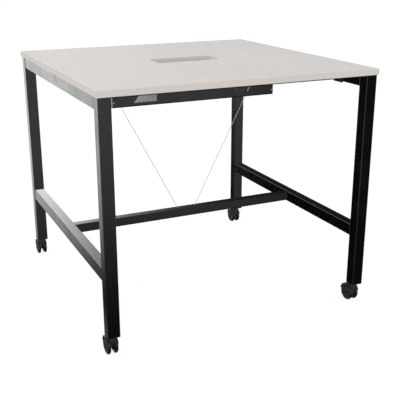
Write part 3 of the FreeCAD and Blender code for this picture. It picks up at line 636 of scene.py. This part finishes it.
def make_floor():
    """Pale floor: it keeps the table's shadow, and its own glow lifts it to white for the camera."""
    mesh = bpy.data.meshes.new("studio_floor")
    half = FLOOR_SIZE / 2
    corners = [(-half, -half, 0), (half, -half, 0), (half, half, 0), (-half, half, 0)]
    mesh.from_pydata(corners, [], [(0, 1, 2, 3)])
    floor = bpy.data.objects.new("studio_floor", mesh)
    bpy.context.scene.collection.objects.link(floor)
    mat = bpy.data.materials.new("floor_paper")
    mat.use_nodes = True
    tree = mat.node_tree
    bsdf = tree.nodes["Principled BSDF"]
    bsdf.inputs["Roughness"].default_value = FLOOR_ROUGHNESS
    bsdf.inputs["Specular IOR Level"].default_value = 0.0
    camera_ray = ray_kind(tree, "Is Camera Ray")
    noise = tree.nodes.new("ShaderNodeTexNoise")
    noise.inputs["Scale"].default_value = FLOOR_MOTTLE_SCALE
    ramp = tree.nodes.new("ShaderNodeValToRGB")
    ramp.color_ramp.elements[0].color = (*grey(FLOOR_COLOUR * (1 - FLOOR_MOTTLE)), 1.0)
    ramp.color_ramp.elements[1].color = (*grey(FLOOR_COLOUR * (1 + FLOOR_MOTTLE)), 1.0)
    tree.links.new(noise.outputs["Fac"], ramp.inputs["Fac"])
    seen = tree.nodes.new("ShaderNodeMix")
    seen.data_type = "RGBA"
    seen.inputs["B"].default_value = (*grey(FLOOR_SEEN), 1.0)
    tree.links.new(camera_ray, seen.inputs["Factor"])
    tree.links.new(ramp.outputs["Color"], seen.inputs["A"])
    tree.links.new(seen.outputs["Result"], bsdf.inputs["Base Color"])
    bsdf.inputs["Emission Color"].default_value = WHITE
    glow = tree.nodes.new("ShaderNodeMath")
    glow.operation = "MULTIPLY"
    glow.inputs[1].default_value = FLOOR_GLOW
    tree.links.new(camera_ray, glow.inputs[0])
    tree.links.new(glow.outputs[0], bsdf.inputs["Emission Strength"])
    mesh.materials.append(mat)


class Sky:
    """The studio as reflections see it: soft-edged panels given by azimuth and elevation.

    Azimuth is measured from the way a panel faces, +Y for back and -Y for front, and grows
    towards +X; all angles are in degrees.
    """

    def __init__(self, tree):
        self.tree = tree
        direction = tree.nodes.new("ShaderNodeTexCoord").outputs["Generated"]
        split = tree.nodes.new("ShaderNodeSeparateXYZ")
        tree.links.new(direction, split.inputs[0])
        towards_front = self.math("MULTIPLY", split.outputs["Y"], -1.0)
        self.azimuth = {
            "back": self.math("ARCTAN2", split.outputs["X"], split.outputs["Y"]),
            "front": self.math("ARCTAN2", split.outputs["X"], towards_front),
        }
        self.elevation = self.math("ARCSINE", split.outputs["Z"])
        self.total = None

    def math(self, operation, a, b=None):
        node = self.tree.nodes.new("ShaderNodeMath")
        node.operation = operation
        for socket, value in zip(node.inputs, (a, b)):
            if isinstance(value, float):
                socket.default_value = value
            elif value is not None:
                self.tree.links.new(value, socket)
        return node.outputs[0]

    def edge(self, value, place, soft):
        """A smooth step from 0 to 1 over twice soft around place; a negative soft falls instead."""
        node = self.tree.nodes.new("ShaderNodeMapRange")
        node.interpolation_type = "SMOOTHSTEP"
        node.inputs["From Min"].default_value = math.radians(place - soft)
        node.inputs["From Max"].default_value = math.radians(place + soft)
        self.tree.links.new(value, node.inputs["Value"])
        return node.outputs["Result"]

    def panel(self, level, way, azimuth, elevation, soft):
        """Add a panel: level, (left, right), (low, high), and the softness of those four edges."""
        angle = self.azimuth[way]
        part = self.edge(angle, azimuth[0], soft[0])
        part = self.math("MULTIPLY", part, self.edge(angle, azimuth[1], -soft[1]))
        part = self.math("MULTIPLY", part, self.edge(self.elevation, elevation[0], soft[2]))
        part = self.math("MULTIPLY", part, self.edge(self.elevation, elevation[1], -soft[3]))
        part = self.math("MULTIPLY", part, float(level))
        self.total = part if self.total is None else self.math("ADD", self.total, part)


PANELS = (
    # level, way, (left, right), (low, high), softness of left, right, low and high
    (2.5, "back", (-19.5, -10.3), (-19.9, 45.0), (3.5, 2.5, 6.8, 9.0)),
    (0.25, "back", (-19.5, -10.0), (-12.5, 45.0), (3.5, 2.5, 2.0, 9.0)),
    (2.35, "back", (9.5, 17.6), (-19.9, 45.0), (2.0, 7.0, 6.8, 9.0)),
    (2.9, "back", (9.5, 14.0), (5.0, 45.0), (2.0, 4.5, 9.0, 9.0)),
    (0.7, "back", (-10.3, 9.5), (-19.9, 45.0), (2.5, 2.0, 6.8, 9.0)),
    (3.0, "back", (-25.0, 9.0), (33.0, 55.0), (6.0, 3.0, 6.0, 6.0)),
    (0.35, "back", (-32.0, -19.5), (-12.0, 45.0), (3.0, 3.5, 2.5, 9.0)),
    (0.2, "back", (17.5, 24.5), (-10.0, 45.0), (8.0, 4.0, 6.0, 9.0)),
    (0.04, "back", (25.0, 41.0), (4.0, 45.0), (5.0, 4.0, 5.0, 9.0)),
    (0.5, "back", (8.0, 26.0), (1.0, 12.5), (4.0, 3.0, 3.0, 2.5)),
    (0.1, "back", (26.0, 41.0), (1.0, 12.5), (3.0, 4.0, 3.0, 2.5)),
    (0.42, "back", (-30.0, 10.0), (-80.0, -28.2), (6.0, 8.0, 4.0, 2.5)),
    (1.2, "front", (-50.0, 31.8), (-20.3, 45.0), (6.0, 2.2, 7.2, 9.0)),
    (0.6, "back", (-136.0, -48.0), (-26.0, 45.0), (6.0, 4.0, 9.0, 9.0)),
    (0.6, "back", (45.0, 126.0), (-28.0, 45.0), (5.0, 5.0, 9.0, 9.0)),
    (0.5, "back", (-400.0, 400.0), (60.0, 120.0), (1.0, 1.0, 8.0, 8.0)),
)


def make_world():
    """White behind the table for the camera, panels for its reflections, even light for the rest."""
    world = bpy.data.worlds.new("studio")
    bpy.context.scene.world = world
    world.use_nodes = True
    tree = world.node_tree
    tree.nodes.clear()
    out = tree.nodes.new("ShaderNodeOutputWorld")
    seen, light, mirrored = (tree.nodes.new("ShaderNodeBackground") for _ in range(3))
    seen.inputs["Strength"].default_value = 1.0
    seen.inputs["Color"].default_value = WHITE
    light.inputs["Strength"].default_value = WORLD_LEVEL
    light.inputs["Color"].default_value = WHITE
    sky = Sky(tree)
    for panel in PANELS:
        sky.panel(*panel)
    tree.links.new(sky.total, mirrored.inputs["Strength"])
    to_glossy = tree.nodes.new("ShaderNodeMixShader")
    tree.links.new(ray_kind(tree, "Is Glossy Ray"), to_glossy.inputs[0])
    tree.links.new(light.outputs[0], to_glossy.inputs[1])
    tree.links.new(mirrored.outputs[0], to_glossy.inputs[2])
    to_camera = tree.nodes.new("ShaderNodeMixShader")
    tree.links.new(ray_kind(tree, "Is Camera Ray"), to_camera.inputs[0])
    tree.links.new(to_glossy.outputs[0], to_camera.inputs[1])
    tree.links.new(seen.outputs[0], to_camera.inputs[2])
    tree.links.new(to_camera.outputs[0], out.inputs["Surface"])


def make_overhead_softbox():
    """A square area lamp above the table that gives its shapes light and the floor its shadow."""
    lamp = bpy.data.lights.new("overhead_softbox", "AREA")
    lamp.shape = "RECTANGLE"
    lamp.size = LAMP_SIDE
    lamp.size_y = LAMP_SIDE
    lamp.energy = LAMP_RADIANCE * LAMP_SIDE * LAMP_SIDE * math.pi
    obj = bpy.data.objects.new("overhead_softbox", lamp)
    bpy.context.scene.collection.objects.link(obj)
    aim = Vector(LAMP_TARGET) - Vector(LAMP_PLACE)
    turn = aim.to_track_quat("-Z", "Y").to_matrix().to_4x4()
    obj.matrix_world = Matrix.Translation(LAMP_PLACE) @ turn
    obj.visible_glossy = False
    obj.visible_camera = False


def make_camera():
    """The viewpoint, solved from the table's own straight edges."""
    cam = bpy.data.cameras.new("view")
    cam.sensor_width = SENSOR_WIDTH
    cam.lens = CAMERA_LENS
    obj = bpy.data.objects.new("view", cam)
    obj.location = CAMERA_PLACE
    obj.rotation_euler = CAMERA_TURN
    bpy.context.scene.collection.objects.link(obj)
    bpy.context.scene.camera = obj


def reflect_only_the_studio():
    """The pieces mirror the studio and not each other, as the photographed paint does."""
    for obj in bpy.context.scene.objects:
        if obj.type == "MESH":
            obj.visible_glossy = False


make_floor()
make_world()
reflect_only_the_studio()
make_overhead_softbox()
make_camera()
bpy.context.scene.view_settings.view_transform = "Standard"
